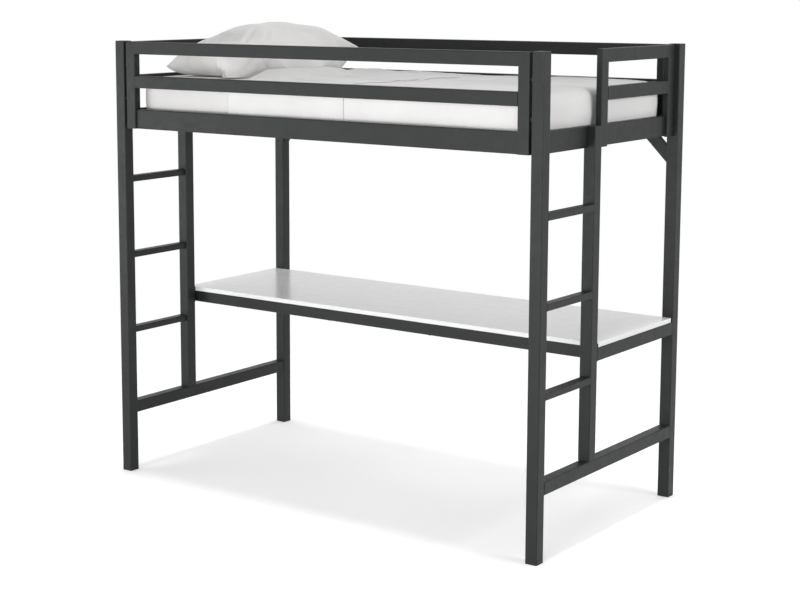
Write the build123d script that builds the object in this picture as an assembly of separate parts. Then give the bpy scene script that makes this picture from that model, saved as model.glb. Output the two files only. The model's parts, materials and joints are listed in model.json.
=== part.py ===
from build123d import *
import os

# Loft bed with a desk under it.  Millimetres, +Z up, +X to the right end, -Y to the front.
# The origin is on the floor, at the middle of the four legs.

# ---- Driving dimensions -------------------------------------------------------------------

mattress_length = 1880.0     # the bed is made round its mattress
mattress_width = 980.0
mattress_height = 165.0
mattress_head_gap = 25.0     # from the mattress to the left bed end rail
mattress_foot_gap = 9.0      # the same at the right end
mattress_side_gap = 14.0     # the same at the front and the back
bed_rail_bottom = 1455.0
bed_rail_height = 79.0
guard_height = 275.0         # above the bed rails

leg_size = 48.0              # square leg and ladder post
leg_wall = 1.5
rail_wall = 1.2
edge_radius = 4.0            # rounded long edges of every tube
smallest_radius = 0.3        # inside a tube whose wall is as thick as its rounding
rail_height = 50.0           # floor, desk and guard rails

foot_height = 4.0            # glide under the leg
cap_height = 3.0             # cap on the leg
plug_depth = 12.0            # how far glides, caps and plugs reach into a tube
plug_play = 0.2              # gap between a plug and its tube

floor_rail_bottom = 246.0
floor_rail_depth = 45.0
ladder_opening = 320.0       # between the front leg and the ladder post
rung_count = 3
rung_pitch = 319.0
rung_height = 26.0
rung_depth = 38.0

desk_top = 734.0
desk_board = 17.5            # thickness of the board
desk_board_corner = 3.0      # radius in plan
desk_board_edge = 0.8        # bevel round its top
desk_overhang = 12.5         # board's long edges past the long rails
desk_end_inset = 4.0         # board's ends back from the legs' outer planes
desk_play = 1.0              # between the board and the bolting plates
desk_rail_depth = 25.0
desk_plate = 5.0             # bolting plate on the desk's end rails
desk_plate_width = 44.0
desk_plate_below_top = 2.0   # plate's top edge under the board's top
desk_bolt_spacing = 23.0
bearer_width = 25.0
bearer_spacing = 660.0       # between the two cross bearers
desk_screw_spacing = 500.0
desk_screws_per_rail = 4

panel_gap = 10.0             # between a leg and the post of a side panel
panel_setback = 1.5          # panel's face back from the legs' outer plane
panel_depth = 32.0
panel_post_width = 48.0
side_rail_setback = 8.5      # bed side rail's face back from the panel's face
spacer_radius = 10.0

end_rail_inset = 34.0        # bed end rail back from the legs' outer plane
end_rail_depth = 25.0
end_guard_inset = 20.0
end_guard_depth = 25.0
end_post_width = 50.0
short_guard_gap = 29.5       # from the ladder post back to the short guard
lap_overhang = 2.0           # guard post's lap below the bed end rail
lap_bolt_spacing = 32.0

brace_reach = 124.0          # brace's lower edge, along the rail and down the leg
brace_width = 50.0
brace_depth = 18.0
brace_plate = 3.0
brace_plate_setback = 9.0    # bolting plate's end back from the leg's inner faces
brace_bolt_setback = 6.0     # bolt's centre ahead of the brace's face

ledge_size = 25.0
ledge_thickness = 2.0
ledge_end_gap = 12.0
slat_count = 12
slat_width = 40.0
slat_height = 15.0
slat_edge_radius = 3.0
slat_end_play = 1.5
slat_side_margin = 30.0      # first slat's edge from the bed end rail
beam_width = 25.0
beam_height = 30.0

mattress_corner = 80.0       # corner radius in plan
mattress_edge = 28.0         # rounding of the top and bottom edges
top_sheet_thickness = 8.0
top_sheet_margin = 14.0      # sheet's edge in from the mattress's edge
pillow_length = 735.0
pillow_width = 470.0
pillow_height = 205.0
pillow_corner = 125.0        # corner radius in plan
pillow_edge = 98.0           # rounding of the top and bottom edges
pillow_end_gap = 45.0        # from the mattress's left end
pillow_sheet_gap = 16.0      # from the pillow to the top sheet
soft_gap = 0.3               # between soft pieces and what they rest on

large_bolt = 8.0             # nominal diameters
small_bolt = 6.0
desk_screw = 5.0
desk_screw_bite = 11.0       # how far a screw goes into the board
hole_play = 0.4              # hole's diameter over the bolt's
pilot_play = 0.1             # the same for the desk screws' holes in the board and nuts' threads
head_radius = 0.88           # of the bolt's diameter, as the next four are
head_height = 0.55
socket_radius = 0.36
nut_width = 1.6
nut_thickness = 0.8
head_bevel = 0.3             # of the head's height, as the next one is
socket_depth = 0.6
bolt_tail = 1.5              # bolt's end past its nut

# ---- Places worked out from them ----------------------------------------------------------

bed_opening = mattress_length + mattress_head_gap + mattress_foot_gap
half_length = bed_opening / 2 + end_rail_depth + end_rail_inset
half_depth = mattress_width / 2 + mattress_side_gap + panel_depth + panel_setback
leg_inner_x = half_length - leg_size
leg_inner_y = half_depth - leg_size

floor_rail_top = floor_rail_bottom + rail_height
ladder_front = -leg_inner_y + ladder_opening
ladder_back = ladder_front + leg_size

desk_underside = desk_top - desk_board
desk_rail_bottom = desk_underside - rail_height
desk_front = ladder_back + desk_plate + desk_play
desk_rear = leg_inner_y - desk_plate - desk_play

bed_rail_top = bed_rail_bottom + bed_rail_height
tube_top = bed_rail_top + guard_height
guard_top_bottom = tube_top - rail_height
guard_mid_bottom = (bed_rail_top + guard_top_bottom - rail_height) / 2
guard_mid_top = guard_mid_bottom + rail_height

panel_face = half_depth - panel_setback
panel_back = panel_face - panel_depth
panel_end = leg_inner_x - panel_gap
panel_window = panel_end - panel_post_width
panel_middle = panel_face - panel_depth / 2
side_rail_face = panel_face - side_rail_setback

end_rail_outer = half_length - end_rail_inset
end_rail_inner = end_rail_outer - end_rail_depth
end_guard_outer = half_length - end_guard_inset
end_guard_inner = end_guard_outer - end_guard_depth
short_guard_front = ladder_back + short_guard_gap
lap_bottom = bed_rail_bottom - lap_overhang

slat_underside = bed_rail_bottom + beam_height
slat_top = slat_underside + slat_height

mattress_bottom = slat_top + soft_gap
mattress_top = mattress_bottom + mattress_height
mattress_left = mattress_head_gap - end_rail_inner
mattress_right = end_rail_inner - mattress_foot_gap


# ---- Shapes used again and again ----------------------------------------------------------

RUN_AND_ACROSS = {
    "x": (Vector(1, 0, 0), Vector(0, 1, 0)),
    "y": (Vector(0, 1, 0), Vector(0, 0, 1)),
    "z": (Vector(0, 0, 1), Vector(1, 0, 0)),
}


def bar(low, high, along, radius=edge_radius):
    """Solid bar that fills the box from low to high, its edges along one axis rounded."""
    low, high = Vector(*low), Vector(*high)
    run, across = RUN_AND_ACROSS[along]
    size = high - low
    start = (low + high) / 2 - run * (size.dot(run) / 2)
    section = RectangleRounded(size.dot(across), size.dot(run.cross(across)), radius)
    return extrude(Plane(start, x_dir=across, z_dir=run) * section, amount=size.dot(run))


def shrink(low, high, along, amount):
    """The box from low to high, smaller by amount on every side but the two along one axis."""
    inset = [0 if axis == along else amount for axis in "xyz"]
    low = [value + step for value, step in zip(low, inset)]
    high = [value - step for value, step in zip(high, inset)]
    return low, high


def bore(low, high, along, wall, radius=edge_radius):
    """The inside of a tube that fills the box from low to high."""
    return bar(*shrink(low, high, along, wall), along, max(radius - wall, smallest_radius))


def tube(low, high, along, wall=rail_wall, radius=edge_radius):
    """Tube that fills the box from low to high and is open at its two ends."""
    return bar(low, high, along, radius) - bore(low, high, along, wall, radius)


def plug(low, high, along, wall):
    """Solid plug that slides into a tube's bore and fills the box from low to high."""
    return bar(*shrink(low, high, along, wall + plug_play), along, max(edge_radius - wall, smallest_radius))


def block(low, high):
    """Square-edged block that fills the box from low to high."""
    low, high = Vector(*low), Vector(*high)
    size = high - low
    return Pos((low + high) / 2) * Box(size.X, size.Y, size.Z)


def rod(start, end, diameter):
    """Round rod from one point to another, also used to cut holes."""
    start, end = Vector(*start), Vector(*end)
    section = Plane(start, z_dir=end - start) * Circle(diameter / 2)
    return extrude(section, amount=(end - start).length)


def mitre(piece, outer, inner, kept):
    """Cut a piece along a frame's corner line and keep the side where the point kept is."""
    outer, inner, kept = Vector(*outer), Vector(*inner), Vector(*kept)
    corner = (inner - outer).normalized()
    towards = kept - outer
    normal = towards - corner * towards.dot(corner)
    return split(piece, bisect_by=Plane(outer, z_dir=normal), keep=Keep.TOP)


def notched_post(low, high, notch_low, notch_high, wall):
    """Upright tube with a notch, the notch closed all round by plates as thick as the wall."""
    notch = block(notch_low, notch_high)
    notch_and_plates = block([v - wall for v in notch_low], [v + wall for v in notch_high])
    hollow = bore(low, high, "z", wall) - notch_and_plates
    return bar(low, high, "z") - notch - hollow


def bolt(seat, way, length, diameter):
    """Button-head bolt with a hexagon socket, its head's underside at the seat."""
    top = head_height * diameter
    shank = Cylinder(diameter / 2, length, align=(Align.CENTER, Align.CENTER, Align.MIN))
    head = Cylinder(head_radius * diameter, top, align=(Align.CENTER, Align.CENTER, Align.MAX))
    head = chamfer(head.edges().sort_by(Axis.Z)[0], head_bevel * top)
    socket = extrude(RegularPolygon(socket_radius * diameter, 6), amount=socket_depth * top)
    return Plane(seat, z_dir=way) * (shank + head - Pos(0, 0, -top) * socket)


def nut(seat, way, grip, diameter):
    """Square nut welded behind what the bolt clamps."""
    width = nut_width * diameter
    height = nut_thickness * diameter
    body = Box(width, width, height, align=(Align.CENTER, Align.CENTER, Align.MIN))
    thread = Cylinder((diameter + pilot_play) / 2, height, align=(Align.CENTER, Align.CENTER, Align.MIN))
    return Plane(Vector(*seat) + Vector(*way) * grip, z_dir=way) * (body - thread)


def hole(seat, way, grip, diameter):
    """Cutter for a bolt's hole, from just above the seat to just past what it clamps."""
    seat, way = Vector(*seat), Vector(*way)
    return rod(seat - way, seat + way * (grip + 1), diameter + hole_play)


def bolt_length(grip, diameter):
    """Length of a bolt that clamps grip and runs through its nut."""
    return grip + nut_thickness * diameter + bolt_tail


# ---- Fastener places: where each head sits, which way it points and what it clamps ---------

panel_grip = panel_post_width + panel_gap + leg_wall
panel_bolt_heights = (bed_rail_top + guard_mid_bottom) / 2, (guard_mid_top + guard_top_bottom) / 2
panel_places = [
    ((side * panel_window, depth * panel_middle, z), (side, 0, 0), panel_grip)
    for side in (-1, 1)
    for depth in (-1, 1)
    for z in panel_bolt_heights
]

desk_grip = desk_plate + leg_wall
desk_bolt_x = half_length - (desk_plate_width + desk_rail_depth) / 2
desk_bolt_middle = desk_rail_bottom + rail_height / 2
desk_places = [
    ((side * desk_bolt_x, y, desk_bolt_middle + i * desk_bolt_spacing / 2), (0, way, 0), desk_grip)
    for side in (-1, 1)
    for y, way in ((ladder_back + desk_plate, -1), (leg_inner_y - desk_plate, 1))
    for i in (-1, 1)
]

lap_middle = bed_rail_bottom + bed_rail_height / 2
end_post_middle = leg_inner_y - end_post_width / 2
end_posts = [
    (-1, -end_post_middle),
    (-1, end_post_middle),
    (1, short_guard_front + end_post_width / 2),
    (1, end_post_middle),
]
lap_grip = end_rail_depth + rail_wall
lap_places = [
    ((side * end_rail_inner, y, lap_middle + i * lap_bolt_spacing / 2), (side, 0, 0), lap_grip)
    for side, y in end_posts
    for i in (-1, 1)
]

brace_front = half_depth - brace_depth
brace_bolt_y = brace_front - brace_bolt_setback
brace_end = brace_reach - brace_width * 2 ** 0.5
brace_bolt_reach = (brace_reach + brace_end) / 2
brace_places = []
for side in (-1, 1):
    under_rail = (side * (leg_inner_x - brace_bolt_reach), brace_bolt_y, bed_rail_bottom - brace_plate)
    beside_leg = (side * (leg_inner_x - brace_plate), brace_bolt_y, bed_rail_bottom - brace_bolt_reach)
    brace_places.append((under_rail, (0, 0, 1), brace_plate + rail_wall))
    brace_places.append((beside_leg, (side, 0, 0), brace_plate + leg_wall))

desk_rail_faces = {
    "front": desk_front + desk_overhang,
    "rear": desk_rear - desk_overhang - desk_rail_depth,
}
desk_screw_places = [
    ((desk_screw_spacing * (i - (desk_screws_per_rail - 1) / 2), face + desk_rail_depth / 2,
      desk_rail_bottom), (0, 0, 1), rail_height)
    for face in desk_rail_faces.values()
    for i in range(desk_screws_per_rail)
]

panel_holes = [hole(*place, large_bolt) for place in panel_places]
desk_holes = [hole(*place, small_bolt) for place in desk_places]
lap_holes = [hole(*place, small_bolt) for place in lap_places]
brace_holes = [hole(*place, small_bolt) for place in brace_places]
desk_screw_holes = [hole(*place, desk_screw) for place in desk_screw_places]


# ---- The pieces ---------------------------------------------------------------------------

def both_ends(name, right):
    """A piece of the right end and its mirror image at the left end."""
    return {name + "_right": right, name + "_left": mirror(right, about=Plane.YZ)}


def both_sides(name, back):
    """A piece of the back and its mirror image at the front."""
    return {name + "_back": back, name + "_front": mirror(back, about=Plane.XZ)}


def make_legs():
    """Four square legs with their caps and glides."""
    low = (leg_inner_x, leg_inner_y, foot_height)
    high = (half_length, half_depth, tube_top)
    holes = panel_holes + desk_holes + brace_holes
    legs = {}
    for depth_name, depth_sign in (("front", -1), ("back", 1)):
        for end_name, end_sign in (("left", -1), ("right", 1)):
            leg = tube(low, high, "z", leg_wall)
            if end_sign < 0:
                leg = mirror(leg, about=Plane.YZ)
            if depth_sign < 0:
                leg = mirror(leg, about=Plane.XZ)
            legs[f"leg_{depth_name}_{end_name}"] = leg - holes
    cap = bar((low[0], low[1], tube_top), (high[0], high[1], tube_top + cap_height), "z")
    cap += plug((low[0], low[1], tube_top - plug_depth), high, "z", leg_wall)
    glide = bar((low[0], low[1], 0), (high[0], high[1], foot_height), "z")
    glide += plug(low, (high[0], high[1], foot_height + plug_depth), "z", leg_wall)
    legs["leg_caps"] = at_four_corners(cap)
    legs["foot_glides"] = at_four_corners(glide)
    return legs


def at_four_corners(piece):
    """One piece at the right back corner and its mirror images at the other three."""
    right = [piece, mirror(piece, about=Plane.XZ)]
    return Compound(right + [mirror(solid, about=Plane.YZ) for solid in right])


def make_end_frame():
    """Floor rail, ladder post with its notch, rungs and bed end rail of each end."""
    pieces = {}
    pieces |= both_ends("floor_rail", tube(
        (half_length - floor_rail_depth, -leg_inner_y, floor_rail_bottom),
        (half_length, leg_inner_y, floor_rail_top), "y"))
    post = notched_post(
        (leg_inner_x, ladder_front, floor_rail_top), (half_length, ladder_back, bed_rail_top),
        (leg_inner_x - 2 * leg_wall, ladder_front - 2 * leg_wall, bed_rail_bottom),
        (end_rail_outer, ladder_back + 2 * leg_wall, bed_rail_top + 2 * leg_wall), leg_wall)
    pieces |= both_ends("ladder_post", post - desk_holes)
    for i in range(rung_count):
        rung_top = floor_rail_top + (i + 1) * rung_pitch
        pieces |= both_ends(f"rung_{i + 1}", tube(
            (half_length - rung_depth, -leg_inner_y, rung_top - rung_height),
            (half_length, ladder_front, rung_top), "y"))
    rail = tube(
        (end_rail_inner, -leg_inner_y, bed_rail_bottom),
        (end_rail_outer, leg_inner_y, bed_rail_top), "y")
    pieces["bed_end_rail_right"] = rail - lap_holes
    pieces["bed_end_rail_left"] = mirror(rail, about=Plane.YZ) - lap_holes
    return pieces


def make_side_panel():
    """Guard of one long side: two posts mitred to the top rail, a mid rail and the bed rail."""
    outer = (panel_end, panel_face, tube_top)
    inner = (panel_window, panel_face, guard_top_bottom)
    top = tube((-panel_end, panel_back, guard_top_bottom), (panel_end, panel_face, tube_top), "x")
    post = tube(
        (panel_window, panel_back, bed_rail_bottom), (panel_end, panel_face, tube_top), "z")
    post = mitre(post, outer, inner, (panel_window, panel_face, bed_rail_bottom))
    post = post - panel_holes
    for end in (-1, 1):
        top = mitre(
            top, (end * outer[0], outer[1], outer[2]), (end * inner[0], inner[1], inner[2]),
            (0, panel_face, guard_top_bottom))
    middle = tube(
        (-panel_window, panel_back, guard_mid_bottom), (panel_window, panel_face, guard_mid_top), "x")
    bed_rail = tube(
        (-panel_window, panel_back, bed_rail_bottom), (panel_window, side_rail_face, bed_rail_top), "x")
    pieces = both_sides("guard_top_rail", top)
    pieces |= both_sides("guard_mid_rail", middle)
    pieces["bed_side_rail_back"] = bed_rail - brace_holes
    pieces["bed_side_rail_front"] = mirror(bed_rail, about=Plane.XZ)
    pieces |= both_ends("guard_post_back", post)
    pieces |= both_ends("guard_post_front", mirror(post, about=Plane.XZ))
    return pieces


def make_end_guard(front, back):
    """Guard of the right end from front to back, its posts lapped over the bed end rail."""
    face = end_guard_outer
    window_front, window_back = front + end_post_width, back - end_post_width
    top = tube((end_guard_inner, front, guard_top_bottom), (face, back, tube_top), "y")
    posts = []
    for outer_y, inner_y in ((front, window_front), (back, window_back)):
        low_y, high_y = sorted((outer_y, inner_y))
        post = notched_post(
            (end_guard_inner, low_y, lap_bottom), (face, high_y, tube_top),
            (end_guard_inner - 2 * rail_wall, low_y - 2 * rail_wall, lap_bottom - 2 * rail_wall),
            (end_rail_outer, high_y + 2 * rail_wall, bed_rail_top), rail_wall)
        corner = (face, outer_y, tube_top), (face, inner_y, guard_top_bottom)
        posts.append(mitre(post, *corner, (face, outer_y, bed_rail_bottom)))
        top = mitre(top, *corner, (face, (front + back) / 2, guard_top_bottom))
    middle = tube(
        (end_guard_inner, window_front, guard_mid_bottom), (face, window_back, guard_mid_top), "y")
    return {"post_front": posts[0], "post_back": posts[1], "top_rail": top, "mid_rail": middle}


def make_end_guards():
    """A full-width guard at the left end and a short one, which leaves the way in, at the right."""
    full = make_end_guard(-leg_inner_y, leg_inner_y)
    short = make_end_guard(short_guard_front, leg_inner_y)
    pieces = {}
    for name in full:
        pieces[f"end_guard_left_{name}"] = mirror(full[name], about=Plane.YZ)
        pieces[f"end_guard_right_{name}"] = short[name]
    for name in pieces:
        if "post" in name:
            pieces[name] = pieces[name] - lap_holes
    return pieces


def make_braces():
    """Corner braces of the back: a flat tube at 45 degrees between two bolting plates."""
    corner = Vector(leg_inner_x, 0, bed_rail_bottom)
    down_right = Vector(1, 0, -1).normalized()
    middle = corner - Vector(1, 0, 1) * ((brace_reach + brace_end) / 4)
    plane = Plane(middle + Vector(0, brace_front + brace_depth / 2, 0), x_dir=(0, 1, 0), z_dir=down_right)
    section = RectangleRounded(brace_depth, brace_width, edge_radius)
    section -= RectangleRounded(
        brace_depth - 2 * rail_wall, brace_width - 2 * rail_wall, edge_radius - rail_wall)
    strut = extrude(plane * section, amount=brace_reach, both=True)
    rail_plane = Plane((0, 0, bed_rail_bottom - brace_plate), z_dir=(0, 0, -1))
    leg_plane = Plane((leg_inner_x - brace_plate, 0, 0), z_dir=(-1, 0, 0))
    strut = split(strut, bisect_by=rail_plane, keep=Keep.TOP)
    strut = split(strut, bisect_by=leg_plane, keep=Keep.TOP)
    plate_front = leg_inner_y + brace_plate_setback
    rail_flange = block(
        (leg_inner_x - brace_reach - brace_plate, plate_front, bed_rail_bottom - brace_plate),
        (leg_inner_x - brace_end, half_depth, bed_rail_bottom))
    leg_flange = block(
        (leg_inner_x - brace_plate, plate_front, bed_rail_bottom - brace_reach - brace_plate),
        (leg_inner_x, half_depth, bed_rail_bottom - brace_end))
    brace = strut + rail_flange + leg_flange
    return both_ends("corner_brace", brace - brace_holes)


def make_bed_base():
    """Ledges along the side rails, slats across them and the beam under the slats."""
    half = end_rail_inner - ledge_end_gap
    back_edge = panel_back - ledge_size
    shelf = block(
        (-half, back_edge, slat_underside - ledge_thickness), (half, panel_back, slat_underside))
    upright = block(
        (-half, panel_back - ledge_thickness, slat_underside),
        (half, panel_back, slat_underside - ledge_thickness + ledge_size))
    slat_half = panel_back - ledge_thickness - slat_end_play
    first = -end_rail_inner + slat_side_margin
    pitch = (2 * end_rail_inner - 2 * slat_side_margin - slat_width) / (slat_count - 1)
    slats = [
        tube(
            (first + i * pitch, -slat_half, slat_underside),
            (first + i * pitch + slat_width, slat_half, slat_top), "y", rail_wall, slat_edge_radius)
        for i in range(slat_count)
    ]
    beam = tube(
        (-end_rail_inner, -beam_width / 2, bed_rail_bottom),
        (end_rail_inner, beam_width / 2, slat_underside), "x")
    return both_sides("slat_ledge", shelf + upright) | {"slats": Compound(slats), "centre_beam": beam}


def make_desk():
    """White board on a frame of tubes, bolted by plates to the ladder posts and back legs."""
    rail_inner = half_length - desk_rail_depth
    front, rear = ladder_back + desk_plate, leg_inner_y - desk_plate
    end_rail = tube((rail_inner, front, desk_rail_bottom), (half_length, rear, desk_underside), "y")
    plate_top = desk_top - desk_plate_below_top
    for low_y, high_y in ((ladder_back, front), (rear, leg_inner_y)):
        end_rail += block(
            (half_length - desk_plate_width, low_y, desk_rail_bottom), (half_length, high_y, plate_top))
    pieces = both_ends("desk_end_rail", end_rail - desk_holes)
    for name, face in desk_rail_faces.items():
        rail = tube(
            (-rail_inner, face, desk_rail_bottom),
            (rail_inner, face + desk_rail_depth, desk_underside), "x")
        pieces[f"desk_{name}_rail"] = rail - desk_screw_holes
    bearer = tube(
        ((bearer_spacing - bearer_width) / 2, desk_rail_faces["front"] + desk_rail_depth,
         desk_underside - bearer_width),
        ((bearer_spacing + bearer_width) / 2, desk_rail_faces["rear"], desk_underside), "y")
    pieces |= both_ends("desk_bearer", bearer)
    board_half = half_length - desk_end_inset
    board = bar(
        (-board_half, desk_front, desk_underside), (board_half, desk_rear, desk_top), "z",
        desk_board_corner)
    board = chamfer(board.faces().sort_by(Axis.Z)[-1].edges(), desk_board_edge)
    pilots = [
        rod(seat, Vector(*seat) + Vector(0, 0, rail_height + desk_screw_bite), desk_screw + pilot_play)
        for seat, _, _ in desk_screw_places
    ]
    pieces["desktop"] = board - pilots
    return pieces


def make_fasteners():
    """Spacers, bolts, nuts and screws, each kind one node of separate solids."""
    panel_length = bolt_length(panel_grip, large_bolt)
    plate_length = bolt_length(desk_grip, small_bolt)
    lap_length = bolt_length(lap_grip, small_bolt)
    screw_length = rail_height + desk_screw_bite
    spacers = []
    for seat, way, _ in panel_places:
        start = Vector(*seat) + Vector(*way) * panel_post_width
        end = start + Vector(*way) * panel_gap
        spacers.append(rod(start, end, 2 * spacer_radius) - rod(start, end, large_bolt + hole_play))
    plate_places = desk_places + brace_places
    nuts = [nut(*place, large_bolt) for place in panel_places]
    nuts += [nut(*place, small_bolt) for place in plate_places + lap_places]
    return {
        "panel_spacers": Compound(spacers),
        "panel_bolts": bolts(panel_places, panel_length, large_bolt),
        "plate_bolts": bolts(plate_places, plate_length, small_bolt),
        "end_guard_bolts": bolts(lap_places, lap_length, small_bolt),
        "desk_screws": bolts(desk_screw_places, screw_length, desk_screw),
        "weld_nuts": Compound(nuts),
    }


def bolts(places, length, diameter):
    """One bolt at each place."""
    return Compound([bolt(seat, way, length, diameter) for seat, way, _ in places])


def make_plugs():
    """Plugs in the open ends of ladder posts, panel posts and end guard laps."""
    ladder = plug(
        (end_rail_outer, ladder_front, bed_rail_top - plug_depth),
        (half_length, ladder_back, bed_rail_top), "z", leg_wall)
    plugs = [ladder, mirror(ladder, about=Plane.YZ)]
    panel = plug(
        (panel_window, panel_back, bed_rail_bottom),
        (panel_end, panel_face, bed_rail_bottom + plug_depth), "z", rail_wall)
    plugs += at_four_corners(panel).solids()
    for side, y in end_posts:
        low_x, high_x = sorted((side * end_rail_outer, side * end_guard_outer))
        plugs.append(plug(
            (low_x, y - end_post_width / 2, lap_bottom),
            (high_x, y + end_post_width / 2, lap_bottom + plug_depth), "z", rail_wall))
    return {"tube_plugs": Compound(plugs)}


def make_bedding():
    """Mattress, top sheet and pillow as plain closed solids."""
    mattress = bar(
        (mattress_left, -mattress_width / 2, mattress_bottom),
        (mattress_right, mattress_width / 2, mattress_top), "z", mattress_corner)
    rims = mattress.faces().sort_by(Axis.Z)
    mattress = fillet(rims[0].edges() + rims[-1].edges(), mattress_edge)
    sheet_bottom = mattress_top + soft_gap
    pillow_left = mattress_left + pillow_end_gap
    sheet_left = pillow_left + pillow_width + pillow_sheet_gap
    sheet_half = mattress_width / 2 - mattress_edge - top_sheet_margin
    sheet = bar(
        (sheet_left, -sheet_half, sheet_bottom),
        (mattress_right - mattress_edge - top_sheet_margin, sheet_half, sheet_bottom + top_sheet_thickness),
        "z", top_sheet_margin)
    pillow = bar(
        (pillow_left, -pillow_length / 2, sheet_bottom),
        (pillow_left + pillow_width, pillow_length / 2, sheet_bottom + pillow_height), "z", pillow_corner)
    rims = pillow.faces().sort_by(Axis.Z)
    pillow = fillet(rims[0].edges() + rims[-1].edges(), pillow_edge)
    return {"mattress": mattress, "top_sheet": sheet, "pillow": pillow}


pieces = {}
pieces |= make_legs()
pieces |= make_end_frame()
pieces |= make_side_panel()
pieces |= make_end_guards()
pieces |= make_braces()
pieces |= make_bed_base()
pieces |= make_desk()
pieces |= make_fasteners()
pieces |= make_plugs()
pieces |= make_bedding()

os.makedirs("parts", exist_ok=True)
for name, piece in pieces.items():
    export_step(piece, f"parts/{name}.step")
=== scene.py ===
import json
import math

import bmesh
import bpy
import numpy as np
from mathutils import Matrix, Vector, bvhtree, noise


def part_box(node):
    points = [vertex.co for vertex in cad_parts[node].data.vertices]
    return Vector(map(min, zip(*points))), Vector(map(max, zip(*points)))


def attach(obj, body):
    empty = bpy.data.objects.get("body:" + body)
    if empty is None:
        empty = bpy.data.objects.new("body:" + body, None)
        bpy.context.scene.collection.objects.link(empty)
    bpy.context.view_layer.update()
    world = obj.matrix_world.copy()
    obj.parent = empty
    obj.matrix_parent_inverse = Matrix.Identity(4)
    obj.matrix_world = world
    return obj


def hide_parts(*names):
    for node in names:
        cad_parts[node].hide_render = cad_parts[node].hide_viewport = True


# Looks of the loft bed with desk.  Metres, in the frame's own axes: +Z up, the front at -Y.

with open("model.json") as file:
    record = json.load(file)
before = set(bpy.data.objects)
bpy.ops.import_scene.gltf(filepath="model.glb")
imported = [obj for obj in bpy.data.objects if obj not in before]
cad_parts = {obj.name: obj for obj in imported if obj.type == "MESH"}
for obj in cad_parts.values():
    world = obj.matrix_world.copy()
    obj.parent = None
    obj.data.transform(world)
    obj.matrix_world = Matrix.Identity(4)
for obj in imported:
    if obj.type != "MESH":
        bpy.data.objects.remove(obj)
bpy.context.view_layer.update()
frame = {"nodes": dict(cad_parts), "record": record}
scene = bpy.context.scene


# ---- Materials ----------------------------------------------------------------------------

PAINT_SPECULAR = 0.22
PAINT_GLOSS_STRAY = (-0.04, 0.06)
BOARD_WHITE = ((0.87, 0.87, 0.868), (0.90, 0.90, 0.898))
BOARD_ROUGHNESS = (0.2, 0.27)
COTTON_ROUGHNESS = (0.82, 0.95)
COTTON_SPECULAR = 0.3
COTTON_SHEEN = 0.15
COTTON_SHEEN_ROUGHNESS = 0.5
WEAVE_SCALE = 0.5 / (2 * math.pi)    # the wave texture's scale times the weave's size


class Nodes:
    """A material's node tree with a Principled shader, and short calls to add to it."""

    def __init__(self, name):
        self.material = bpy.data.materials.new(name)
        self.material.use_nodes = True
        self.tree = self.material.node_tree
        self.tree.nodes.clear()
        self.shader = self.add("ShaderNodeBsdfPrincipled")
        self.output = self.add("ShaderNodeOutputMaterial")
        self.link(self.shader, "BSDF", self.output, "Surface")
        self.place = self.add("ShaderNodeTexCoord")

    def add(self, kind, **inputs):
        """A new node with its sockets set; a socket's spaces are underscores here."""
        node = self.tree.nodes.new(kind)
        for name, value in inputs.items():
            node.inputs[name.replace("_", " ")].default_value = value
        return node

    def link(self, source, out_name, target, in_name):
        """Join one node's output to another's input, by their names."""
        self.tree.links.new(source.outputs[out_name], target.inputs[in_name])

    def noise(self, scale, detail=2.0, roughness=0.5, stretch=(1, 1, 1)):
        """Noise in the object's own space, stretched along its axes."""
        texture = self.add("ShaderNodeTexNoise", Scale=scale, Detail=detail, Roughness=roughness)
        mapping = self.add("ShaderNodeMapping", Scale=stretch)
        self.link(self.place, "Object", mapping, "Vector")
        self.link(mapping, "Vector", texture, "Vector")
        return texture

    def ramp(self, source, out_name, low, high, start=0.3, end=0.7):
        """Colours from low to high as the source's value goes from start to end."""
        ramp = self.add("ShaderNodeValToRGB")
        elements = ramp.color_ramp.elements
        elements[0].position, elements[1].position = start, end
        elements[0].color, elements[1].color = (*low, 1), (*high, 1)
        self.link(source, out_name, ramp, "Fac")
        return ramp

    def spread(self, source, out_name, low, high, start=0.3, end=0.7):
        """Numbers from low to high as the source's value goes from start to end."""
        spread = self.add("ShaderNodeMapRange")
        for name, value in (("From Min", start), ("From Max", end), ("To Min", low), ("To Max", high)):
            spread.inputs[name].default_value = value
        self.link(source, out_name, spread, "Value")
        return spread

    def bump(self, source, out_name, distance, strength=1.0, under=None):
        """Bump from a value, over another bump when one is given; it reaches the shader."""
        bump = self.add("ShaderNodeBump", Strength=strength, Distance=distance)
        self.link(source, out_name, bump, "Height")
        if under:
            self.link(under, "Normal", bump, "Normal")
        self.link(bump, "Normal", self.shader, "Normal")
        return bump


def powder_coat(name, low, high, roughness, peel):
    """Satin powder coat: fine orange peel, faint mottling and slightly uneven gloss."""
    nodes = Nodes(name)
    mottle = nodes.noise(scale=9.0, detail=6.0, roughness=0.65)
    colour = nodes.ramp(mottle, "Fac", low, high)
    nodes.link(colour, "Color", nodes.shader, "Base Color")
    gloss = nodes.noise(scale=35.0, detail=3.0)
    smoother, rougher = PAINT_GLOSS_STRAY
    spread = nodes.spread(gloss, "Fac", roughness + smoother, roughness + rougher)
    nodes.link(spread, "Result", nodes.shader, "Roughness")
    coarse = nodes.bump(nodes.noise(scale=420.0, detail=1.0), "Fac", distance=peel, strength=0.5)
    fine = nodes.noise(scale=1500.0, detail=2.0)
    nodes.bump(fine, "Fac", distance=peel / 3, strength=0.4, under=coarse)
    nodes.shader.inputs["Specular IOR Level"].default_value = PAINT_SPECULAR
    return nodes.material


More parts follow.
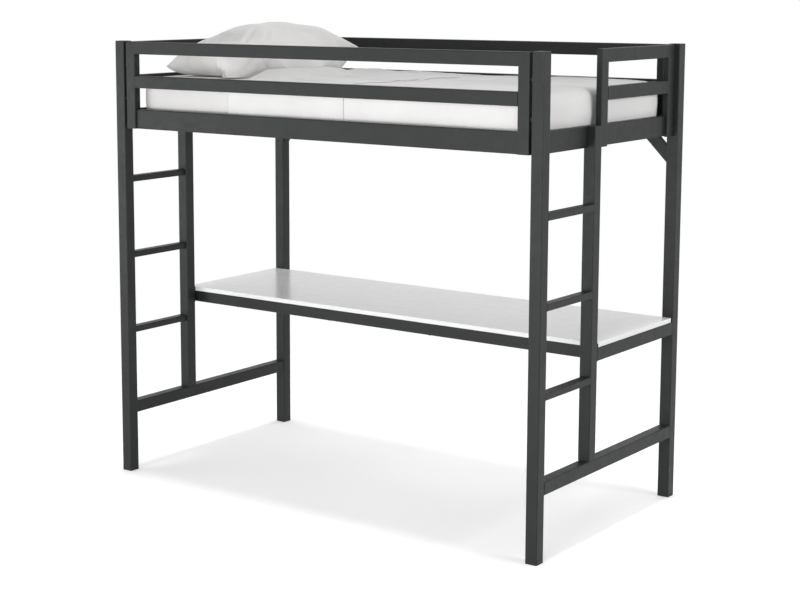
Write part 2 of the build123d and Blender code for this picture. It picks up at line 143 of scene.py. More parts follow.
def lacquer(name):
    """White lacquer on board: faint roller texture and slightly uneven gloss."""
    nodes = Nodes(name)
    tone = nodes.noise(scale=4.0, detail=4.0, stretch=(0.4, 1, 1))
    colour = nodes.ramp(tone, "Fac", *BOARD_WHITE)
    nodes.link(colour, "Color", nodes.shader, "Base Color")
    gloss = nodes.noise(scale=22.0, detail=3.0)
    spread = nodes.spread(gloss, "Fac", *BOARD_ROUGHNESS)
    nodes.link(spread, "Result", nodes.shader, "Roughness")
    nodes.bump(nodes.noise(scale=260.0, detail=2.0), "Fac", distance=0.00012, strength=0.35)
    return nodes.material


def cotton(name, low, high, weave):
    """Plain-woven cotton: two sets of threads, slubs, soft creases and a light sheen."""
    nodes = Nodes(name)
    tone = nodes.noise(scale=6.0, detail=5.0, roughness=0.6)
    colour = nodes.ramp(tone, "Fac", low, high)
    nodes.link(colour, "Color", nodes.shader, "Base Color")
    slub = nodes.spread(nodes.noise(scale=60.0, stretch=(0.15, 4, 4)), "Fac", *COTTON_ROUGHNESS)
    nodes.link(slub, "Result", nodes.shader, "Roughness")
    crease = nodes.noise(scale=14.0, detail=6.0, roughness=0.6)
    relief = nodes.bump(crease, "Fac", distance=0.004, strength=0.35)
    for direction in ("X", "Y"):
        threads = nodes.add("ShaderNodeTexWave", Scale=WEAVE_SCALE / weave, Distortion=0.6)
        threads.bands_direction = direction
        nodes.link(nodes.place, "Object", threads, "Vector")
        relief = nodes.bump(threads, "Fac", distance=weave / 4, strength=0.25, under=relief)
    nodes.shader.inputs["Sheen Weight"].default_value = COTTON_SHEEN
    nodes.shader.inputs["Sheen Roughness"].default_value = COTTON_SHEEN_ROUGHNESS
    nodes.shader.inputs["Specular IOR Level"].default_value = COTTON_SPECULAR
    return nodes.material


finishes = {
    "frame_paint": powder_coat(
        "frame_paint", (0.0155, 0.0178, 0.0173), (0.0205, 0.0232, 0.0227), roughness=0.44, peel=0.0003),
    "cap_plastic": powder_coat(
        "cap_plastic", (0.024, 0.026, 0.025), (0.032, 0.034, 0.033), roughness=0.52, peel=0.0002),
    "fastener_steel": powder_coat(
        "fastener_steel", (0.020, 0.022, 0.021), (0.032, 0.034, 0.033), roughness=0.34, peel=0.0001),
    "desk_lacquer": lacquer("desk_lacquer"),
    "mattress_cover": cotton(
        "mattress_cover", (0.69, 0.685, 0.675), (0.75, 0.745, 0.735), weave=0.0011),
    "bed_linen": cotton("bed_linen", (0.74, 0.735, 0.73), (0.805, 0.80, 0.795), weave=0.0012),
    "pillow_case": cotton("pillow_case", (0.82, 0.81, 0.795), (0.87, 0.86, 0.85), weave=0.0010),
}

for part in frame["record"]["subparts"]:
    mesh = frame["nodes"][part["node"]].data
    mesh.materials.clear()
    mesh.materials.append(finishes[part["material_slot"]])


# ---- Meshes -------------------------------------------------------------------------------

FOLD_DEPTH = 0.04            # how far off the surface a fold's line may lie
FOLD_TAPER = 0.08            # share of the half wave along a fold that is left out at each end
WANDER_SIZE = 0.11           # length of the waves by which folds stray from their lines


def new_piece(name, mesh, body, finish):
    """An object of the bed that rides on a body and has a finish."""
    piece = bpy.data.objects.new(name, mesh)
    scene.collection.objects.link(piece)
    mesh.materials.clear()
    mesh.materials.append(finishes[finish])
    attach(piece, body)
    return piece


def mesh_from(name, points, faces):
    """A smooth-shaded mesh from its points and faces."""
    mesh = bpy.data.meshes.new(name)
    mesh.from_pydata([tuple(point) for point in points], [], faces)
    mesh.validate()
    for polygon in mesh.polygons:
        polygon.use_smooth = True
    return mesh


def level_square(name, half, height):
    """A level square about the origin, half of its side long each way."""
    corners = [(half * x, half * y, height) for x, y in ((-1, -1), (1, -1), (1, 1), (-1, 1))]
    return mesh_from(name, corners, [(0, 1, 2, 3)])


def apply_modifiers(piece):
    """Keep a piece's shape as its modifiers make it, and drop the modifiers."""
    bpy.context.view_layer.update()
    graph = bpy.context.evaluated_depsgraph_get()
    mesh = bpy.data.meshes.new_from_object(piece.evaluated_get(graph))
    piece.modifiers.clear()
    piece.data = mesh
    return piece


def points_of(mesh):
    """A mesh's points, one to a row."""
    points = np.empty(len(mesh.vertices) * 3)
    mesh.vertices.foreach_get("co", points)
    return points.reshape(-1, 3)


def set_points(mesh, points):
    """Put a mesh's points where the rows say."""
    mesh.vertices.foreach_set("co", np.asarray(points, float).ravel())
    mesh.update()


def normals_of(mesh):
    """A mesh's normals, one to a row."""
    normals = np.empty(len(mesh.vertices) * 3)
    mesh.vertices.foreach_get("normal", normals)
    return normals.reshape(-1, 3)


def ripple(points, size, seed, octaves=3):
    """Soft noise from about -1 to 1 at each point, its waves about size long."""
    values = np.zeros(len(points))
    for i, point in enumerate(points):
        place = Vector(point) / size + Vector((seed, 3.7 * seed, -2.1 * seed))
        values[i] = noise.fractal(place, 1.0, 2.0, octaves)
    return values


def folds(points, lines, stray, seed, normals=None):
    """How far soft folds lift each point; a fold is (start, end, half width, height).

    With normals, a fold is measured along the surface and fades where its line is far off it.
    """
    wander = [ripple(points, WANDER_SIZE, seed + i, octaves=2) for i in range(3)]
    bent = points + stray * np.stack(wander, axis=1)
    lift = np.zeros(len(points))
    for start, end, width, height in lines:
        start, end = np.array(start, float), np.array(end, float)
        run = end - start
        share = np.clip((bent - start) @ run / (run @ run), 0, 1)
        away = bent - start - share[:, None] * run
        near = 1.0
        if normals is not None:
            off = np.sum(away * normals, axis=1)
            away -= off[:, None] * normals
            near = np.exp(-(off / FOLD_DEPTH) ** 2)
        away = np.linalg.norm(away, axis=1)
        along = np.sin(np.pi * (FOLD_TAPER + (1 - 2 * FOLD_TAPER) * share))
        lift += height * near * np.exp(-(away / width) ** 2) * along
    return lift


def smooth_step(value, start, end):
    """0 up to the start, 1 from the end on, and a smooth rise between them."""
    share = np.clip((value - start) / (end - start), 0, 1)
    return share * share * (3 - 2 * share)


# ---- Mattress in its fitted sheet ---------------------------------------------------------

MATTRESS_VOXEL = 0.014
SIDE_BULGE = 0.005
SIDE_WAVES = 0.0014
SIDE_WAVE_SIZE = 0.16
TOP_SAG = 0.002
TOP_SAG_SIZE = 0.5
TOP_SAG_BIAS = 1.2           # taken from the waves, so that the top only sinks
FLAT_BASE = 0.002            # this much above its underside stays as it is
GATHER_DEPTH = 0.0016        # gathers of the sheet's corners
GATHERS_PER_TURN = 38        # as the side turns once round the mattress
GATHER_FADE = (0.35, 0.95)   # shares of the height between which they end
CORNER_SHARE = 1.4           # makes a normal halfway round a corner count as about 1


def make_mattress():
    """The mattress block, its sides a little full and its sheet gathered at the corners."""
    low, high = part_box("mattress")
    mesh = frame["nodes"]["mattress"].data.copy()
    mesh.name = "mattress_in_sheet"
    piece = new_piece("mattress_in_sheet", mesh, "bedding", "mattress_cover")
    remesh = piece.modifiers.new("Remesh", "REMESH")
    remesh.mode = "VOXEL"
    remesh.voxel_size = MATTRESS_VOXEL
    remesh.use_smooth_shade = True
    smooth = piece.modifiers.new("Smooth", "SMOOTH")
    smooth.iterations = 3
    smooth.factor = 0.5
    apply_modifiers(piece)
    mesh = piece.data
    points, normals = points_of(mesh), normals_of(mesh)
    height = (points[:, 2] - low.z) / (high.z - low.z)
    sideways = np.hypot(normals[:, 0], normals[:, 1])
    bulge = SIDE_BULGE * np.sin(np.pi * np.clip(height, 0, 1)) ** 2 * sideways
    corner = np.minimum(np.abs(normals[:, 0]), np.abs(normals[:, 1])) * CORNER_SHARE
    turn = np.arctan2(normals[:, 1], normals[:, 0])
    gather = GATHER_DEPTH * corner * np.sin(turn * GATHERS_PER_TURN)
    gather *= 1 - smooth_step(height, *GATHER_FADE)
    waves = SIDE_WAVES * ripple(points * (1, 1, 2.5), SIDE_WAVE_SIZE, seed=4) * sideways
    sag = ripple(points, TOP_SAG_SIZE, seed=9, octaves=2) - TOP_SAG_BIAS
    move = bulge + gather + waves + TOP_SAG * np.clip(normals[:, 2], 0, 1) * sag
    move[points[:, 2] < low.z + FLAT_BASE] = 0
    set_points(mesh, points + normals * move[:, None])
    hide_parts("mattress")
    return piece


mattress = make_mattress()


# ---- Pillow -------------------------------------------------------------------------------

CASE_GRID = 0.010
CASE_SWELL = 1.15            # the flat case over the filled pillow
CASE_RISE = 0.035            # from the flat case's middle plane to each layer
CASE_DROP = 0.05             # its height above the mattress before it is filled
CASE_HEM = 0.085             # from the pillow's far end to the line of stitches
CASE_GROOVE = 0.0016
CASE_GROOVE_WIDTH = 0.004
CASE_WAVES = 0.0018
CASE_WAVE_SIZE = 0.07
GROUND_HALF = 2.0
FILL_FRAMES = 40
FILL_PRESSURE = 25.0
PILLOW_SHIFT = 0.005         # along the bed, from where its solid is
PILLOW_FOLD_STRAY = 0.004
PILLOW_REST = (0.001, 0.02)  # heights over the mattress between which folds set in
PILLOW_FOLDS = (
    # round the near corner
    ((-0.600, -0.360, 1.765), (-0.650, -0.335, 1.697), 0.012, -0.012),
    ((-0.655, -0.335, 1.695), (-0.530, -0.395, 1.677), 0.011, -0.016),
    ((-0.494, -0.240, 1.765), (-0.508, -0.316, 1.702), 0.011, -0.013),
    ((-0.506, -0.306, 1.710), (-0.524, -0.370, 1.672), 0.010, -0.012),
    ((-0.490, -0.235, 1.760), (-0.502, -0.298, 1.680), 0.012, 0.007),
    ((-0.478, -0.225, 1.765), (-0.469, -0.222, 1.680), 0.010, -0.009),
    # down and along the side by the sheet
    ((-0.452, -0.215, 1.770), (-0.436, -0.125, 1.688), 0.013, 0.008),
    ((-0.440, -0.150, 1.692), (-0.410, 0.110, 1.698), 0.013, 0.008),
    ((-0.450, -0.100, 1.676), (-0.440, 0.180, 1.690), 0.012, -0.008),
    ((-0.430, -0.140, 1.770), (-0.410, 0.020, 1.720), 0.014, 0.006),
    # up the crown from the near end
    ((-0.540, -0.345, 1.780), (-0.566, -0.205, 1.856), 0.008, 0.0082),
    ((-0.532, -0.330, 1.780), (-0.550, -0.195, 1.858), 0.009, -0.0075),
    ((-0.662, -0.320, 1.785), (-0.618, -0.220, 1.852), 0.009, -0.0068),
    ((-0.640, -0.320, 1.785), (-0.606, -0.215, 1.853), 0.008, 0.0061),
    ((-0.622, -0.320, 1.785), (-0.596, -0.210, 1.855), 0.008, -0.0068),
    ((-0.462, -0.215, 1.780), (-0.510, -0.135, 1.856), 0.008, 0.0068),
    ((-0.476, -0.230, 1.780), (-0.518, -0.155, 1.856), 0.008, -0.0061),
    ((-0.715, -0.325, 1.780), (-0.665, -0.240, 1.835), 0.010, 0.0061),
    # down the near end
    ((-0.770, -0.320, 1.760), (-0.803, -0.338, 1.685), 0.012, 0.0050),
    ((-0.709, -0.345, 1.765), (-0.719, -0.324, 1.678), 0.012, -0.0050),
    # over the far half, and along the side by the head of the bed
    ((-0.56, 0.08, 1.86), (-0.46, 0.31, 1.80), 0.014, 0.0050),
    ((-0.53, 0.04, 1.86), (-0.43, 0.26, 1.80), 0.012, -0.0045),
    ((-0.70, 0.10, 1.87), (-0.76, 0.34, 1.78), 0.014, 0.0055),
    ((-0.66, 0.14, 1.86), (-0.68, 0.35, 1.79), 0.012, -0.0045),
    ((-0.86, -0.20, 1.76), (-0.88, 0.15, 1.75), 0.013, 0.0060),
    ((-0.84, 0.00, 1.79), (-0.87, 0.28, 1.74), 0.012, -0.0050),
    ((-0.42, 0.12, 1.79), (-0.41, 0.32, 1.74), 0.014, 0.0050),
)
LOBE = (                     # the near corner, which hangs out: places in it, how wide it is there
    ((-0.560, -0.300, 1.725), 0.060),
    ((-0.550, -0.345, 1.695), 0.034),
)
LOBE_EDGE = 0.030
LOBE_PULL = (0.004, -0.036, 0.002)
PILLOW_PULLS = (             # a place, how far the pull reaches, and where it goes
    ((-0.887, -0.3675, 1.748), 0.17, (-0.014, -0.004, -0.040)),
    ((-0.417, -0.3675, 1.748), 0.22, (-0.115, -0.014, -0.068)),
    ((-0.440, 0.0000, 1.700), 0.20, (0.040, 0.000, -0.012)),
    ((-0.417, 0.3675, 1.790), 0.17, (-0.040, 0.032, 0.017)),
    ((-0.417, 0.3675, 1.700), 0.13, (-0.036, 0.025, 0.024)),
    ((-0.450, 0.2200, 1.800), 0.20, (-0.017, -0.027, 0.020)),
    ((-0.600, 0.0300, 1.870), 0.34, (-0.017, 0.042, 0.013)),
    ((-0.780, -0.1500, 1.820), 0.22, (0.008, 0.009, -0.040)),
    ((-0.640, -0.2000, 1.840), 0.22, (0.002, -0.003, 0.021)),
)
SHEET_HEAD = 0.04            # how far the top sheet reaches towards the pillow past its solid
SHEET_RISE = 0.009           # how much the pillow's edge stands clear of the mattress there
SHEET_RISE_RUN = 0.03        # over which it comes to stand so


def flat_case(low, high):
    """A closed flat case of two layers: points and faces."""
    length, width = (high.y - low.y) * CASE_SWELL, (high.x - low.x) * CASE_SWELL
    columns, rows = round(width / CASE_GRID), round(length / CASE_GRID)
    points, faces, index = [], [], {}
    for layer in (1, -1):
        for j in range(rows + 1):
            for i in range(columns + 1):
                edge = i in (0, columns) or j in (0, rows)
                if edge and layer < 0:
                    index[layer, i, j] = index[1, i, j]
                    continue
                u, v = 2 * i / columns - 1, 2 * j / rows - 1
                rise = CASE_RISE * (1 - u ** 4) * (1 - v ** 4)
                index[layer, i, j] = len(points)
                points.append((u * width / 2, v * length / 2, layer * rise))
        for j in range(rows):
            for i in range(columns):
                corners = ((i, j), (i + 1, j), (i + 1, j + 1), (i, j + 1))
                face = [index[layer, column, row] for column, row in corners]
                faces.append(face if layer > 0 else face[::-1])
    return points, faces


def inflate(piece, ground):
    """Fill a flat case by simulated pressure while it rests on the ground, and keep the shape."""
    cloth = piece.modifiers.new("Cloth", "CLOTH")
    settings = cloth.settings
    settings.quality = 6
    settings.mass = 0.25
    settings.tension_stiffness = settings.compression_stiffness = 15
    settings.shear_stiffness = 7.5
    settings.bending_stiffness = 0.05
    settings.air_damping = 3.0
    settings.use_pressure = True
    settings.uniform_pressure_force = FILL_PRESSURE
    settings.effector_weights.gravity = 0.35
    cloth.collision_settings.distance_min = 0.003
    cloth.point_cache.frame_start, cloth.point_cache.frame_end = 1, FILL_FRAMES
    ground.modifiers.new("Collision", "COLLISION")
    scene.frame_start, scene.frame_end = 1, FILL_FRAMES
    for number in range(1, FILL_FRAMES + 1):
        scene.frame_set(number)
    apply_modifiers(piece)
    scene.frame_set(1)
    bpy.data.objects.remove(ground)


def fit_into(points, low, high):
    """Points stretched to fill the box from low to high."""
    start, end = points.min(0), points.max(0)
    return np.array(low) + (points - start) / (end - start) * (np.array(high) - np.array(low))


def resting_height(points, bottom):
    """The lowest height each point may have: the mattress, or room for the sheet's head end on it."""
    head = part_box("top_sheet")[0].x - SHEET_HEAD
    return bottom + SHEET_RISE * smooth_step(points[:, 0], head - SHEET_RISE_RUN, head)


def fill_pillow(piece, bottom):
    """Fill the flat case over a level ground at the mattress's top."""
    ground = bpy.data.objects.new("pillow_ground", level_square("pillow_ground", GROUND_HALF, bottom))
    scene.collection.objects.link(ground)
    inflate(piece, ground)


def pull_pillow(points):
    """Points with the pillow's corners and crown pulled to where they lie."""
    for place, reach, pull in PILLOW_PULLS:
        away = np.linalg.norm(points - np.array(place), axis=1)
        points = points + (1 - smooth_step(away, 0, reach))[:, None] * np.array(pull)
    return points


def hang_lobe(points):
    """Points with the pillow's near corner hung out over the mattress."""
    shares = [1 - smooth_step(np.linalg.norm(points - np.array(place), axis=1), width, width + LOBE_EDGE)
              for place, width in LOBE]
    return points + np.max(shares, axis=0)[:, None] * np.array(LOBE_PULL)


def make_pillow():
    """The pillow in its case: filled by simulation, then its corners pulled and its cloth creased."""
    low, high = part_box("pillow")
    middle = (low + high) / 2
    points, faces = flat_case(low, high)
    points = np.array(points) + (middle.x, middle.y, low.z + CASE_DROP)
    mesh = mesh_from("pillow_in_case", points, faces)
    piece = new_piece("pillow_in_case", mesh, "headrest", "pillow_case")
    fill_pillow(piece, low.z)
    points = pull_pillow(fit_into(points_of(piece.data), low, high) + (PILLOW_SHIFT, 0, 0))
    points[:, 2] = np.maximum(points[:, 2], resting_height(points, low.z))
    set_points(piece.data, points)
    subdivide = piece.modifiers.new("Subdivision", "SUBSURF")
    subdivide.levels = subdivide.render_levels = 1
    apply_modifiers(piece)
    points = hang_lobe(points_of(piece.data))
    set_points(piece.data, points)
    normals = normals_of(piece.data)
    start, end = PILLOW_REST
    off_rest = smooth_step(points[:, 2], low.z + start, low.z + end)
    lift = folds(points, PILLOW_FOLDS, PILLOW_FOLD_STRAY, seed=2, normals=normals)
    lift += CASE_WAVES * ripple(points, CASE_WAVE_SIZE, seed=5)
    lift -= CASE_GROOVE * np.exp(-((points[:, 1] - (high.y - CASE_HEM)) / CASE_GROOVE_WIDTH) ** 2)
    points += normals * (lift * off_rest)[:, None]
    points[:, 2] = np.maximum(points[:, 2], resting_height(points, low.z))
    set_points(piece.data, points)
    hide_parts("pillow")
    return piece


pillow = make_pillow()


# ---- Top sheet ----------------------------------------------------------------------------

SHEET_THICKNESS = 0.0011
SHEET_GAP = 0.0022           # from the mattress to one layer's middle, and on to the next one's
SHEET_TUCK = 0.018           # its lower edge over the mattress's
TURN_DOWN = 0.572            # how far it is folded back from its head end
EDGE_WAVER = 0.06            # how much the turned-back edge strays over the top
EDGE_WAVER_SIZE = 0.21
EDGE_WAVER_RUN = 0.2
PILLOW_MARGIN = 0.010        # how far beside the pillow it still stays below it
PILLOW_GAP = 0.002           # how far below
OPEN_HEIGHT = 2.0            # where there is no pillow above
TOP_FACING = (0.5, 0.95)     # rise of the normals between which cloth counts as lying on top
CRUMPLE = 0.034              # how high it is pushed up beside the pillow
CRUMPLE_RUN = (0.03, 0.17)   # from its head end to where that is less, and to where it ends
CRUMPLE_NEAR = (-0.40, -0.22)    # across the bed, where it sets in at the front
CRUMPLE_FAR = (0.05, 0.30)   # and where it ends towards the back
SHEET_WAVES = 0.0016
SHEET_WAVE_SIZE = 0.09
SHEET_FOLD_STRAY = 0.028
SHEET_FOLDS = (
    # at the pillow's far corner
    ((-0.44, 0.24, 1.67), (-0.37, 0.47, 1.67), 0.032, 0.016),
    ((-0.40, 0.10, 1.67), (-0.22, 0.44, 1.67), 0.020, 0.010),
    # fanned out from the pillow's side
    ((-0.44, -0.30, 1.70), (-0.06, -0.38, 1.67), 0.015, 0.011),
    ((-0.44, -0.24, 1.70), (-0.10, -0.27, 1.67), 0.013, 0.012),
    ((-0.44, -0.17, 1.70), (-0.12, -0.16, 1.67), 0.014, 0.011),
    ((-0.44, -0.10, 1.70), (-0.10, -0.05, 1.67), 0.013, 0.010),
    ((-0.44, -0.02, 1.70), (-0.08, 0.10, 1.67), 0.015, 0.009),
    ((-0.42, 0.08, 1.69), (-0.12, 0.27, 1.67), 0.015, 0.008),
    # by the turned-back edge
    ((0.02, -0.22, 1.67), (0.16, -0.46, 1.67), 0.013, 0.007),
    ((-0.06, -0.10, 1.67), (0.20, -0.16, 1.67), 0.014, 0.005),
    ((0.10, -0.02, 1.67), (0.28, -0.12, 1.67), 0.014, 0.006),
    ((-0.05, 0.18, 1.67), (0.22, 0.36, 1.67), 0.024, 0.006),
    # along the back
    ((0.25, 0.44, 1.67), (0.92, 0.45, 1.67), 0.040, 0.006),
    ((-0.42, 0.45, 1.67), (-0.04, 0.46, 1.67), 0.030, 0.007),
    # towards the foot
    ((0.35, 0.10, 1.67), (0.72, 0.02, 1.67), 0.030, 0.005),
    ((0.30, -0.30, 1.67), (0.62, -0.22, 1.67), 0.026, 0.005),
    ((0.62, 0.30, 1.67), (0.90, 0.16, 1.67), 0.026, 0.006),
    ((0.70, -0.10, 1.67), (0.94, -0.30, 1.67), 0.024, 0.005),
)
FOOT_CORNER = (0.60, 0.945)  # the folded corner at the foot, from its tip to its top, along the bed
CORNER_LAP = 0.0022          # how much more the cloth there stands off the side
CORNER_LAP_EDGE = 0.008
SIDE_FACING = 0.7            # run of the normals across the bed from which cloth is on a long side
CUT_TOLERANCE = 1e-5
PAST_FOOT = 0.1              # far enough that nothing is cut off there
HEAD_EDGE = 0.005            # how near its head end an edge is to be joined to the other layer's


def ceiling_of(piece, points):
    """The height of the lowest part of a piece close above each point."""
    mesh = piece.data
    tree = bvhtree.BVHTree.FromPolygons(
        [vertex.co for vertex in mesh.vertices], [polygon.vertices for polygon in mesh.polygons])
    start, end = points_of(mesh).min(0), points_of(mesh).max(0)
    middle, half = (start + end)[:2] / 2, (end - start)[:2] / 2
    margin = PILLOW_MARGIN
    near = np.all(np.abs(points[:, :2] - middle) < half + margin, axis=1)
    below, up = start[2] - margin, Vector((0, 0, 1))
    heights = np.full(len(points), OPEN_HEIGHT)
    for i in np.flatnonzero(near):
        for x, y in ((0, 0), (margin, 0), (-margin, 0), (0, margin), (0, -margin)):
            hit = tree.ray_cast(Vector((points[i, 0] + x, points[i, 1] + y, below)), up)[0]
            if hit:
                heights[i] = min(heights[i], hit.z)
    return heights


def keep_beyond(mesh, axis, limit, side):
    """Cut a mesh at a plane square to an axis and keep the side wanted, 1 above or -1 below."""
    edit = bmesh.new()
    edit.from_mesh(mesh)
    point, normal = Vector((0, 0, 0)), Vector((0, 0, 0))
    point[axis], normal[axis] = limit, side
    bmesh.ops.bisect_plane(
        edit, geom=edit.verts[:] + edit.edges[:] + edit.faces[:], dist=CUT_TOLERANCE,
        plane_co=point, plane_no=normal, clear_inner=True)
    edit.to_mesh(mesh)
    edit.free()
    mesh.update()


def sheet_lift(points, head):
    """How high the sheet stands over the mattress's top: crumpled by the pillow, folded and rippled."""
    crumple = 1 - smooth_step(points[:, 0], head + CRUMPLE_RUN[0], head + CRUMPLE_RUN[1])
    crumple *= smooth_step(points[:, 1], *CRUMPLE_NEAR) * (1 - smooth_step(points[:, 1], *CRUMPLE_FAR))
    lift = folds(points, SHEET_FOLDS, SHEET_FOLD_STRAY, seed=6) + CRUMPLE * crumple
    return np.maximum(lift + SHEET_WAVES * ripple(points, SHEET_WAVE_SIZE, seed=3), 0)


def corner_lap(points, normals):
    """How much more the sheet stands off the long sides where its corner is folded at the foot."""
    low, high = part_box("mattress")
    tip, top = FOOT_CORNER
    fold_z = low.z + (points[:, 0] - tip) / (top - tip) * (high.z - low.z)
    on_side = np.abs(normals[:, 1]) > SIDE_FACING
    return CORNER_LAP * smooth_step(fold_z - points[:, 2], 0.0, CORNER_LAP_EDGE) * on_side


def sheet_layer(head, edge, gap, stray):
    """One layer of the sheet, a gap off the mattress, from its head end to an edge that may stray."""
    mesh = mattress.data.copy()
    keep_beyond(mesh, 0, head, 1)
    keep_beyond(mesh, 0, edge, -1)
    keep_beyond(mesh, 2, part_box("mattress")[0].z + SHEET_TUCK, 1)
    edit = bmesh.new()
    edit.from_mesh(mesh)
    bmesh.ops.subdivide_edges(edit, edges=edit.edges[:], cuts=1, use_grid_fill=True)
    edit.to_mesh(mesh)
    edit.free()
    mesh.update()
    points, normals = points_of(mesh), normals_of(mesh)
    on_top = smooth_step(normals[:, 2], *TOP_FACING)
    waver = stray * ripple(points * (0, 1, 0), EDGE_WAVER_SIZE, seed=8, octaves=2) * on_top
    points[:, 0] += waver * smooth_step(points[:, 0], edge - EDGE_WAVER_RUN, edge)
    lift = sheet_lift(points, head) * on_top
    points += normals * (gap + corner_lap(points, normals))[:, None]
    ceiling = ceiling_of(pillow, points) - PILLOW_GAP - (2 * SHEET_GAP - gap)
    lifted = np.minimum(points[:, 2] + lift, np.maximum(ceiling, points[:, 2]))
    points[:, 2] = np.where(on_top > 0, lifted, points[:, 2])
    set_points(mesh, points)
    return mesh


def make_top_sheet():
    """The flat sheet over the mattress, tucked in round its foot and turned down below the pillow."""
    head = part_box("top_sheet")[0].x - SHEET_HEAD
    past_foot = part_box("mattress")[1].x + PAST_FOOT
    mesh = sheet_layer(head, past_foot, SHEET_GAP, 0)
    mesh.name = "top_sheet_cloth"
    layer = sheet_layer(head, head + TURN_DOWN, 2 * SHEET_GAP, EDGE_WAVER)
    edit = bmesh.new()
    edit.from_mesh(mesh)
    edit.from_mesh(layer)
    edges = [edge for edge in edit.edges
             if edge.is_boundary and all(abs(vert.co.x - head) < HEAD_EDGE for vert in edge.verts)]
    bmesh.ops.bridge_loops(edit, edges=edges)
    edit.to_mesh(mesh)
    edit.free()
    bpy.data.meshes.remove(layer)
    for polygon in mesh.polygons:
        polygon.use_smooth = True
    piece = new_piece("top_sheet_cloth", mesh, "bedding", "bed_linen")
    solidify = piece.modifiers.new("Solidify", "SOLIDIFY")
    solidify.thickness = SHEET_THICKNESS
    solidify.offset = 0
    apply_modifiers(piece)
    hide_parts("top_sheet")


make_top_sheet()


# ---- Camera, light and floor --------------------------------------------------------------

CAMERA_PLACE = (3.958, -5.545, 2.022)
CAMERA_DIP = 8.027           # degrees below level
CAMERA_TURN = 37.075         # degrees from straight back towards the left
CAMERA_LENS = 76.28          # millimetres
CAMERA_SHIFT = (0.067, -0.09)
FLOOR_HALF = 14.0
FLOOR_BOUNCE = (0.60, 0.62)  # its greys for the light that it throws back on the bed
FLOOR_TONE = 0.95            # its grey as the camera sees it
FLOOR_LIFT = 0.25            # how much it glows there, so that the shadow is faint
FLOOR_FADE = (1.8, 4.5)      # distances from the bed's middle between which it turns white
SWEEP_SIDE = (-0.6, 0.8, 0.0)
SWEEP = 1.0                  # light from that side
SWEEP_EDGE = (-0.5, 0.6)     # cosines of the angle from that side between which it grows
ROOM = 0.06                  # light from the other side
CEILING = 0.12               # light from above
CEILING_EDGE = (0.12, 0.6)   # rises between which it grows


def grey(level):
    """A neutral colour."""
    return level, level, level


def make_camera():
    """The camera off the right front corner, a little above the bed and looking down on it."""
    data = bpy.data.cameras.new("camera")
    data.lens = CAMERA_LENS
    data.shift_x, data.shift_y = CAMERA_SHIFT
    data.clip_end = 100
    camera = bpy.data.objects.new("camera", data)
    camera.location = CAMERA_PLACE
    camera.rotation_euler = (math.radians(90 - CAMERA_DIP), 0, math.radians(CAMERA_TURN))
    scene.collection.objects.link(camera)
    scene.camera = camera


def sees_backdrop(tree):
    """A socket that is 1 for the rays that see the white backdrop: camera, glossy and transmission."""
    path = tree.nodes.new("ShaderNodeLightPath")
    seen = path.outputs["Is Camera Ray"]
    for kind in ("Is Glossy Ray", "Is Transmission Ray"):
        either = tree.nodes.new("ShaderNodeMath")
        either.operation = "MAXIMUM"
        tree.links.new(seen, either.inputs[0])
        tree.links.new(path.outputs[kind], either.inputs[1])
        seen = either.outputs["Value"]
    return seen


def make_floor():
    """Pale floor with the bed's shadow on it: nearly white to the camera, and greyer to the bed."""
    nodes = Nodes("floor")
    darker, lighter = FLOOR_BOUNCE
    tone = nodes.ramp(nodes.noise(scale=3.0), "Fac", grey(darker), grey(lighter))
    nodes.link(tone, "Color", nodes.shader, "Base Color")
    nodes.shader.inputs["Roughness"].default_value = 0.9
    nodes.shader.inputs["Specular IOR Level"].default_value = 0.1
    white = nodes.add("ShaderNodeEmission", Color=(1, 1, 1, 1), Strength=1.0)
    pale = nodes.add("ShaderNodeBsdfDiffuse", Color=(*grey(FLOOR_TONE), 1))
    lift = nodes.add("ShaderNodeEmission", Color=(1, 1, 1, 1), Strength=FLOOR_LIFT)
    seen = nodes.add("ShaderNodeAddShader")
    nodes.tree.links.new(pale.outputs["BSDF"], seen.inputs[0])
    nodes.tree.links.new(lift.outputs["Emission"], seen.inputs[1])
    length = nodes.add("ShaderNodeVectorMath")
    length.operation = "LENGTH"
    nodes.link(nodes.place, "Object", length, "Vector")
    far = nodes.spread(length, "Value", 0.0, 1.0, *FLOOR_FADE)
    fade = nodes.add("ShaderNodeMixShader")
    nodes.link(far, "Result", fade, "Fac")
    nodes.tree.links.new(seen.outputs["Shader"], fade.inputs[1])
    nodes.tree.links.new(white.outputs["Emission"], fade.inputs[2])
    mix = nodes.add("ShaderNodeMixShader")
    nodes.tree.links.new(sees_backdrop(nodes.tree), mix.inputs["Fac"])
    nodes.tree.links.new(nodes.shader.outputs["BSDF"], mix.inputs[1])
    nodes.tree.links.new(fade.outputs["Shader"], mix.inputs[2])
    nodes.link(mix, "Shader", nodes.output, "Surface")
    floor = bpy.data.objects.new("floor", level_square("floor", FLOOR_HALF, 0))
    floor.data.materials.append(nodes.material)
    scene.collection.objects.link(floor)


def make_lamp(name, place, aim, size, power):
    """Soft rectangular lamp that shines on a point."""
    data = bpy.data.lights.new(name, "AREA")
    data.shape = "RECTANGLE"
    data.size, data.size_y = size
    data.energy = power
    lamp = bpy.data.objects.new(name, data)
    lamp.location = place
    lamp.rotation_euler = (Vector(aim) - Vector(place)).to_track_quat("-Z", "Y").to_euler()
    scene.collection.objects.link(lamp)


def make_sun(strength, spread):
    """Light from straight above, spread by some degrees, which draws the bed's outline on the floor."""
    data = bpy.data.lights.new("overhead", "SUN")
    data.energy = strength
    data.angle = math.radians(spread)
    lamp = bpy.data.objects.new("overhead", data)
    lamp.location = (0, 0, 5)
    scene.collection.objects.link(lamp)


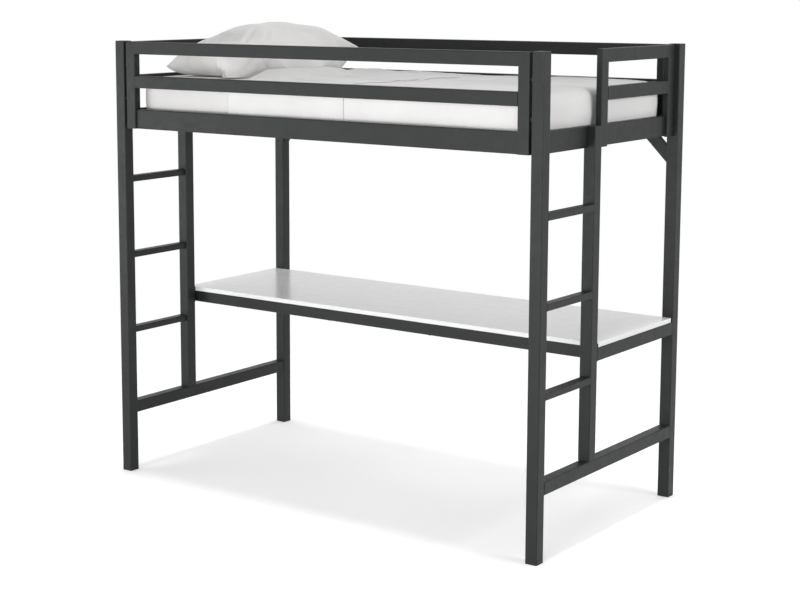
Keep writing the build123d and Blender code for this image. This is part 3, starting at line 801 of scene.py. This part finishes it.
def smooth_range(tree, value, edge, low, high):
    """A socket that goes smoothly from low to high as a value crosses an edge."""
    change = tree.nodes.new("ShaderNodeMapRange")
    change.interpolation_type = "SMOOTHSTEP"
    for name, number in (("From Min", edge[0]), ("From Max", edge[1]), ("To Min", low), ("To Max", high)):
        change.inputs[name].default_value = number
    tree.links.new(value, change.inputs["Value"])
    return change.outputs["Result"]


def make_world():
    """White sweep behind the bed, dim room in front and dim ceiling; the camera sees white all round."""
    world = bpy.data.worlds.new("studio")
    scene.world = world
    world.use_nodes = True
    tree = world.node_tree
    tree.nodes.clear()
    place = tree.nodes.new("ShaderNodeTexCoord").outputs["Generated"]
    towards = tree.nodes.new("ShaderNodeVectorMath")
    towards.operation = "DOT_PRODUCT"
    towards.inputs[1].default_value = SWEEP_SIDE
    tree.links.new(place, towards.inputs[0])
    parts = tree.nodes.new("ShaderNodeSeparateXYZ")
    tree.links.new(place, parts.inputs["Vector"])
    brighter = tree.nodes.new("ShaderNodeMath")
    brighter.operation = "MAXIMUM"
    sweep = smooth_range(tree, towards.outputs["Value"], SWEEP_EDGE, ROOM, SWEEP)
    ceiling = smooth_range(tree, parts.outputs["Z"], CEILING_EDGE, 0.0, CEILING)
    tree.links.new(sweep, brighter.inputs[0])
    tree.links.new(ceiling, brighter.inputs[1])
    light = tree.nodes.new("ShaderNodeBackground")
    white = tree.nodes.new("ShaderNodeBackground")
    for background in (light, white):
        background.inputs["Color"].default_value = (*grey(1.0), 1)
    tree.links.new(brighter.outputs["Value"], light.inputs["Strength"])
    white.inputs["Strength"].default_value = 1.0
    mix = tree.nodes.new("ShaderNodeMixShader")
    tree.links.new(sees_backdrop(tree), mix.inputs["Fac"])
    tree.links.new(light.outputs["Background"], mix.inputs[1])
    tree.links.new(white.outputs["Background"], mix.inputs[2])
    output = tree.nodes.new("ShaderNodeOutputWorld")
    tree.links.new(mix.outputs["Shader"], output.inputs["Surface"])


make_camera()
make_floor()
make_world()
make_lamp("front", place=(0.2, -4.8, 0.8), aim=(0.0, 0, 0.9), size=(3.6, 1.1), power=99)
make_lamp("left", place=(-4.2, -3.6, 1.0), aim=(-0.5, 0, 1.0), size=(2.6, 1.8), power=60)
make_lamp("side", place=(5.0, 0.4, 2.1), aim=(0, 0, 1.5), size=(2.4, 2.0), power=93)
make_lamp("fill", place=(1.6, -3.4, 2.2), aim=(-0.6, -0.2, 1.75), size=(1.4, 0.8), power=33)
make_sun(strength=0.66, spread=5)

scene.view_settings.view_transform = "Standard"
